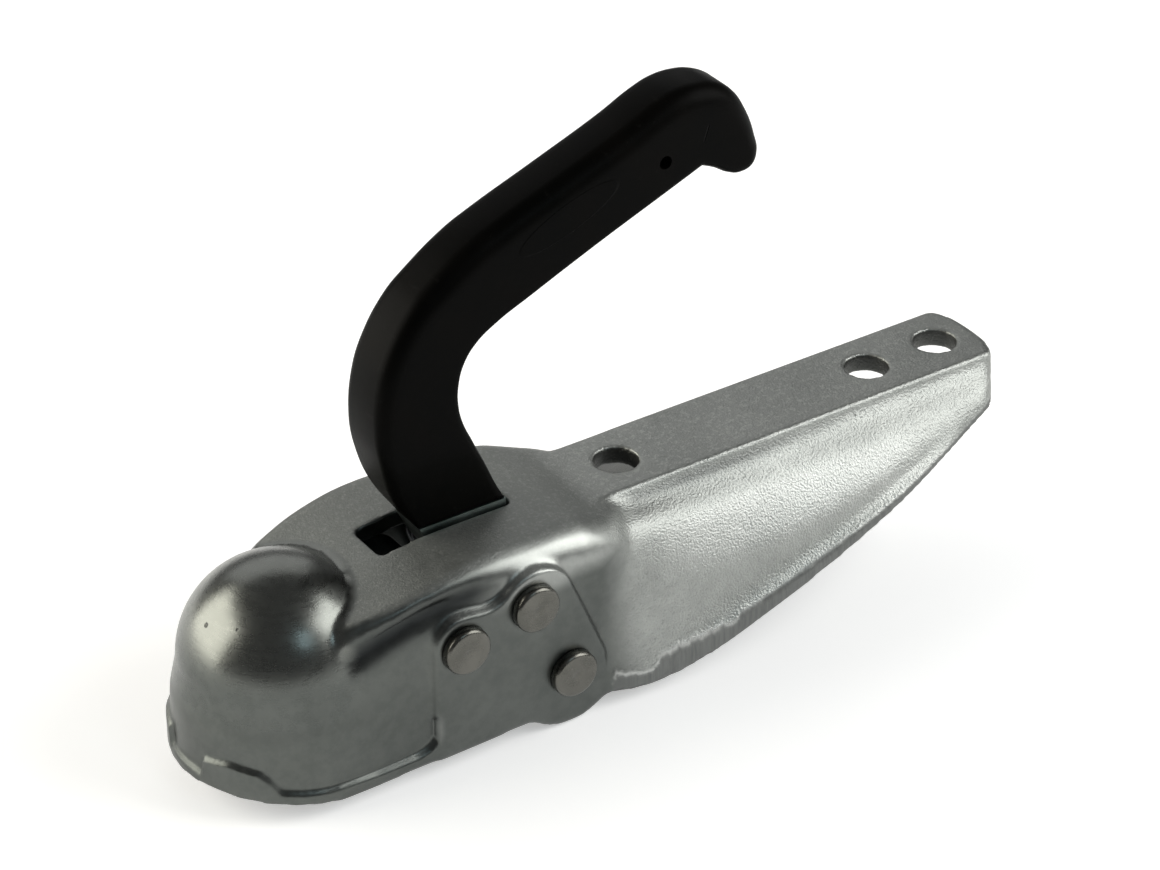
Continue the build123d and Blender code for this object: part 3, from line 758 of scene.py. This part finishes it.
faces = [f for f in faces if not overHole(f)]
for side in (-1, 1):
    base = len(gripVerts)
    gripVerts += [(p.x, side * halfThick(p.y), p.y) for p in points]
    gripFaces += [tuple(base + k for k in f) for f in faces]
base = len(gripVerts)
for side in (-1, 1):
    gripVerts += [(x, side * grip["halfTop"], z) for x, z in holeRing]
gripFaces += [(a, b, b + holeSteps, a + holeSteps) for a, b in loopPairs(base, holeSteps)]
gripMesh = bpy.data.meshes.new("grip")
gripMesh.from_pydata((np.array(gripVerts) * mm).tolist(), [], gripFaces)
welded = bmesh.new()
welded.from_mesh(gripMesh)
bmesh.ops.remove_doubles(welded, verts=welded.verts, dist=0.02 * mm)
bmesh.ops.recalc_face_normals(welded, faces=welded.faces)
welded.to_mesh(gripMesh)
welded.free()
smoothToEdges(gripMesh)
newPiece("grip", gripMesh, "lever", "grip", "lever_grip")
print("grip:", len(gripMesh.polygons), "faces")

# riveted pins: one turned shape, set on the three pin axes by nodes
pins = {
    "steps": 64, "shaft": 6.0 * mm, "headHigh": 3.5 * mm, "round": 1.5 * mm, "chamfer": 0.3 * mm,
    "dimple": 1.9 * mm, "dimpleDeep": 0.45 * mm, "dimpleRim": 0.5 * mm, "turnMost": 6.28, "seed": 5,
}
pinNames = ["jaw_pin", "lever_pin", "spring_pin"]
low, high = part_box("jaw_pin")
pinLong = (high[1] - low[1]) / 2
pinHeadR = (high[0] - low[0]) / 2
headUnder = pinLong - pins["headHigh"]
turn = pins["round"]
profile = [
    (0, pinLong - pins["dimpleDeep"]),
    (pins["dimple"] * 0.55, pinLong - pins["dimpleDeep"] * 0.9),
    (pins["dimple"], pinLong - 0.02 * mm),
    (pins["dimple"] + pins["dimpleRim"], pinLong),
]
profile += [
    (pinHeadR - turn + turn * math.sin(t), pinLong - turn + turn * math.cos(t))
    for t in np.linspace(0, math.pi / 2, 7)
]
profile += [
    (pinHeadR, headUnder + pins["chamfer"]),
    (pinHeadR - pins["chamfer"], headUnder),
    (pins["shaft"], headUnder),
]
profile += [(r, -y) for r, y in reversed(profile)]
lathe = bmesh.new()
chain = [lathe.verts.new((r, y, 0)) for r, y in profile]
for a, b in zip(chain, chain[1:]):
    lathe.edges.new((a, b))
bmesh.ops.spin(
    lathe, geom=lathe.verts[:] + lathe.edges[:], axis=(0, 1, 0), cent=(0, 0, 0),
    angle=2 * math.pi, steps=pins["steps"], use_duplicate=False,
)
bmesh.ops.remove_doubles(lathe, verts=lathe.verts, dist=0.01 * mm)
bmesh.ops.recalc_face_normals(lathe, faces=lathe.faces)
pinMesh = meshFrom(lathe, "pinShape")
pinMesh.shade_smooth()
storeSpread(pinMesh, "ring", np.array([math.hypot(v.co.x, v.co.z) for v in pinMesh.vertices]))
pinShape = linked("pinShape", pinMesh)


def pinTree():
    tree = bpy.data.node_groups.new("setPins", "GeometryNodeTree")
    tree.interface.new_socket("Geometry", in_out="INPUT", socket_type="NodeSocketGeometry")
    tree.interface.new_socket("Pin", in_out="INPUT", socket_type="NodeSocketObject")
    tree.interface.new_socket("Finish", in_out="INPUT", socket_type="NodeSocketMaterial")
    tree.interface.new_socket("Geometry", in_out="OUTPUT", socket_type="NodeSocketGeometry")
    start = tree.nodes.new("NodeGroupInput")
    end = tree.nodes.new("NodeGroupOutput")
    shape = tree.nodes.new("GeometryNodeObjectInfo")
    angle = tree.nodes.new("FunctionNodeRandomValue")
    angle.data_type = "FLOAT_VECTOR"
    angle.inputs[0].default_value = (0, 0, 0)
    angle.inputs[1].default_value = (0, pins["turnMost"], 0)
    angle.inputs["Seed"].default_value = pins["seed"]
    copies = tree.nodes.new("GeometryNodeInstanceOnPoints")
    solid = tree.nodes.new("GeometryNodeRealizeInstances")
    finish = tree.nodes.new("GeometryNodeSetMaterial")
    link = tree.links.new
    link(start.outputs["Geometry"], copies.inputs["Points"])
    link(start.outputs["Pin"], shape.inputs["Object"])
    link(shape.outputs["Geometry"], copies.inputs["Instance"])
    link(angle.outputs[0], copies.inputs["Rotation"])
    link(copies.outputs[0], solid.inputs[0])
    link(solid.outputs[0], finish.inputs["Geometry"])
    link(start.outputs["Finish"], finish.inputs["Material"])
    link(finish.outputs[0], end.inputs[0])
    return tree


pinCentres = [(Vector(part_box(name)[0]) + Vector(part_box(name)[1])) / 2 for name in pinNames]
spots = bpy.data.meshes.new("pinSpots")
spots.from_pydata([tuple(c) for c in pinCentres], [], [])
pinHolder = linked("pinSpots", spots)
setter = pinHolder.modifiers.new("setPins", "NODES")
setter.node_group = pinTree()
items = setter.node_group.interface.items_tree
sockets = {item.name: item.identifier for item in items if item.in_out == "INPUT"}
setter[sockets["Pin"]] = pinShape
setter[sockets["Finish"]] = materials["pin_steel"]
pinSet = evaluated(pinHolder)
bpy.data.objects.remove(pinShape)
newPiece("rivetedPins", pinSet, "coupling", "pin_steel", *pinNames)
print("pins:", len(pinSet.polygons), "faces")

# return spring: the CAD spring, welded, shaded smooth and set in place on no body
springMesh = meshFrom(mergedCopy(nodes["lever_spring"]), "returnSpring")
smoothToEdges(springMesh)
returnSpring = newPiece("returnSpring", springMesh, None, "spring_wire", "lever_spring")
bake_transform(returnSpring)
print("spring:", len(springMesh.polygons), "faces")

# floor, light and camera
studio = {
    "floorDrop": 0.2 * mm, "floorReach": 12.0, "floorColor": 0.82, "floorSeen": 0.95, "floorLift": 0.40,
    "worldGrey": 0.12, "target": (0.1, 0, 0),
    # place, size, glow and colour
    "lamps": {
        "key": ((1.05, -0.68, 0.82), (1.0, 1.0), 4.4, (1, 1, 0.98)),
        "left": ((-0.82, 0.66, 0.44), (1.2, 0.95), 4.15, (1, 0.965, 0.87)),
        "rear": ((0.55, 1.25, 0.9), (1.5, 1.0), 0.85, (1, 1, 1)),
        "window": ((0.12, -0.98, 0.86), (0.3, 0.3), 2.5, (0.68, 0.9, 1)),
    },
    "azimuth": 34.15, "elevation": 32.72, "eye": (-0.4679, -0.8523, 0.7001), "lens": 121.4, "sensor": 36,
}


def paleFloor():
    material, root, place, shader = startMaterial("pale_floor")
    rays = ("Is Camera Ray", "Is Glossy Ray", "Is Transmission Ray")
    camera, glossy, through = [root.node("ShaderNodeLightPath", out=ray) for ray in rays]
    seen = camera.most(glossy).most(through)
    plug(root, shader, {
        "Base Color": seen.tint((studio["floorColor"],) * 3, (studio["floorSeen"],) * 3),
        "Roughness": 0.9,
        "Specular IOR Level": 0.0,
        "Emission Color": seen.tint((0, 0, 0), (studio["floorLift"],) * 3),
        "Emission Strength": 1.0,
    })
    return material


floorMesh = bpy.data.meshes.new("floor")
floorZ = cadBox[0][2] - studio["floorDrop"]
reach = studio["floorReach"]
corners = [(-reach, -reach), (reach, -reach), (reach, reach), (-reach, reach)]
floorMesh.from_pydata([(x, y, floorZ) for x, y in corners], [], [(0, 1, 2, 3)])
floor = linked("floor", floorMesh)
floorMesh.materials.append(paleFloor())

target = Vector(studio["target"])
for name, (place, extent, glow, hue) in studio["lamps"].items():
    lamp = bpy.data.lights.new(name, "AREA")
    lamp.shape = "RECTANGLE"
    lamp.size, lamp.size_y = extent
    lamp.energy = glow * math.pi * extent[0] * extent[1]
    lamp.color = hue
    holder = linked(name, lamp)
    holder.location = place
    holder.rotation_euler = (target - Vector(place)).to_track_quat("-Z", "Y").to_euler()

world = bpy.data.worlds.new("studio")
scene.world = world
world.use_nodes = True
grey = studio["worldGrey"]
world.node_tree.nodes["Background"].inputs["Color"].default_value = (grey, grey, grey, 1)

turnA, turnE = math.radians(studio["azimuth"]), math.radians(studio["elevation"])
right = Vector((math.cos(turnA), -math.sin(turnA), 0))
up = Vector((math.sin(turnA) * math.sin(turnE), math.cos(turnA) * math.sin(turnE), math.cos(turnE)))
view = Vector((math.sin(turnA) * math.cos(turnE), math.cos(turnA) * math.cos(turnE), -math.sin(turnE)))
cameraData = bpy.data.cameras.new("camera")
cameraData.lens = studio["lens"]
cameraData.sensor_width = studio["sensor"]
camera = linked("camera", cameraData)
rows = [(right[k], up[k], -view[k], studio["eye"][k]) for k in range(3)]
camera.matrix_world = Matrix((*rows, (0, 0, 0, 1)))
scene.camera = camera
scene.view_settings.view_transform = "Standard"
print("studio set")
